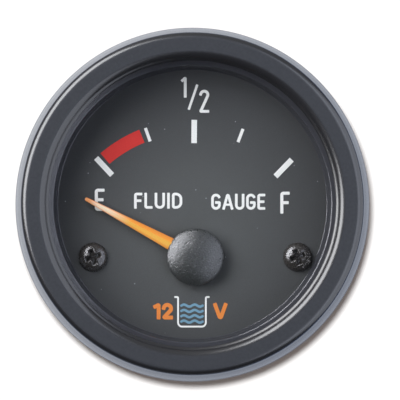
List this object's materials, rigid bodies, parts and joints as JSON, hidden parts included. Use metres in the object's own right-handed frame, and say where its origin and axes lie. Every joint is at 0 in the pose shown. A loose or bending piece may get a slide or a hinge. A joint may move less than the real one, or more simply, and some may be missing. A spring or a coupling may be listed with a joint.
{
  "type": "fluid level gauge",
  "caption": "Round electric fluid level gauge for a panel hole: bezel, glass, dial with sweeping pointer, cup case, clamp bracket with thumb nuts, blade terminals and push-in lamp.",
  "frame": {"origin": "on the gauge's axis, in the plane where the panel seal meets the panel's front face", "axes": "dial faces -Y, top of the dial +Z, +X to the viewer's right; +Y runs back through the case to the studs"},
  "size_m": [0.06, 0.074, 0.06],
  "materials": {
    "bezel_black": "satin black paint on spun steel",
    "glass": "clear flat glass",
    "seal_rubber": "matte black rubber",
    "gloss_black": "polished black moulding",
    "dial_charcoal": "matte charcoal print on aluminium",
    "print_white": "screen-printed white ink",
    "print_red": "screen-printed red ink",
    "screw_black": "glossy black coating on steel",
    "pointer_amber": "satin amber moulding",
    "cap_black": "fine-grained black moulding",
    "brass": "bright stamped brass",
    "bright_steel": "zinc-plated turned steel",
    "plated_steel": "zinc-plated strip steel",
    "magnet": "sintered magnet",
    "former_plastic": "natural moulded plastic",
    "copper": "enamelled copper winding",
    "white_plastic": "white moulded plastic",
    "board_green": "glass-fibre board",
    "resistor_tan": "lacquered resistor",
    "case_black": "black moulded plastic",
    "holder_black": "black moulded plastic"
  },
  "bodies": {
    "housing": {"bezel": "bezel_black", "lens": "glass", "lens_seal": "seal_rubber", "dial_ring": "gloss_black", "dial_plate": "dial_charcoal", "scale_marks": "print_white", "low_zone": "print_red", "dial_screws": "screw_black", "bobbin_front": "former_plastic", "bobbin_rear": "former_plastic", "inner_coil": "copper", "outer_coil": "copper", "shield_ring": "bright_steel", "return_magnet": "magnet", "coil_pins": "brass", "movement_frame": "white_plastic", "circuit_board": "board_green", "resistor": "resistor_tan", "case": "case_black", "panel_seal": "seal_rubber", "terminal_plus": "brass", "terminal_sender": "brass", "terminal_ground": "brass", "terminal_rivets": "bright_steel", "mounting_studs": "bright_steel", "stud_washers": "bright_steel", "stud_nuts": "bright_steel"},
    "hand": {"pointer": "pointer_amber", "hub_cap": "cap_black", "balance_weight": "brass", "spindle": "bright_steel", "rotor_magnet": "magnet"},
    "clamp": {"clamp_bracket": "plated_steel", "spring_washers": "plated_steel"},
    "thumb_left": {"thumb_nut_left": "bright_steel"},
    "thumb_right": {"thumb_nut_right": "bright_steel"},
    "lamp": {"lamp_holder": "holder_black", "lamp_contacts": "brass", "bulb": "glass", "bulb_filament": "bright_steel"}
  },
  "joints": [
    {"name": "pointer_swing", "type": "hinge", "parent": "housing", "child": "hand", "pos_m": [0.0005, 0, -0.00895], "axis": [0, 1, 0], "range_deg": [0, 124], "stiffness_Nm_per_rad": 0.00005, "springref_deg": -20.05},
    {"name": "clamp_slide", "type": "slide", "parent": "housing", "child": "clamp", "axis": [0, -1, 0], "range_m": [-0.0045, 0.007]},
    {"name": "thumb_left_turn", "type": "hinge", "parent": "clamp", "child": "thumb_left", "pos_m": [-0.016, 0.0545, 0], "axis": [0, -1, 0], "range_deg": [-2320, 3605]},
    {"name": "thumb_right_turn", "type": "hinge", "parent": "clamp", "child": "thumb_right", "pos_m": [0.016, 0.0545, 0], "axis": [0, -1, 0], "range_deg": [-2320, 3605]},
    {"name": "lamp_pull", "type": "slide", "parent": "housing", "child": "lamp", "axis": [0, 1, 0], "range_m": [0, 0.026]}
  ],
  "couplings": [
    {"joint": "thumb_left_turn", "follows": "clamp_slide", "rad_per_m": 8976},
    {"joint": "thumb_right_turn", "follows": "clamp_slide", "rad_per_m": 8976}
  ]
}
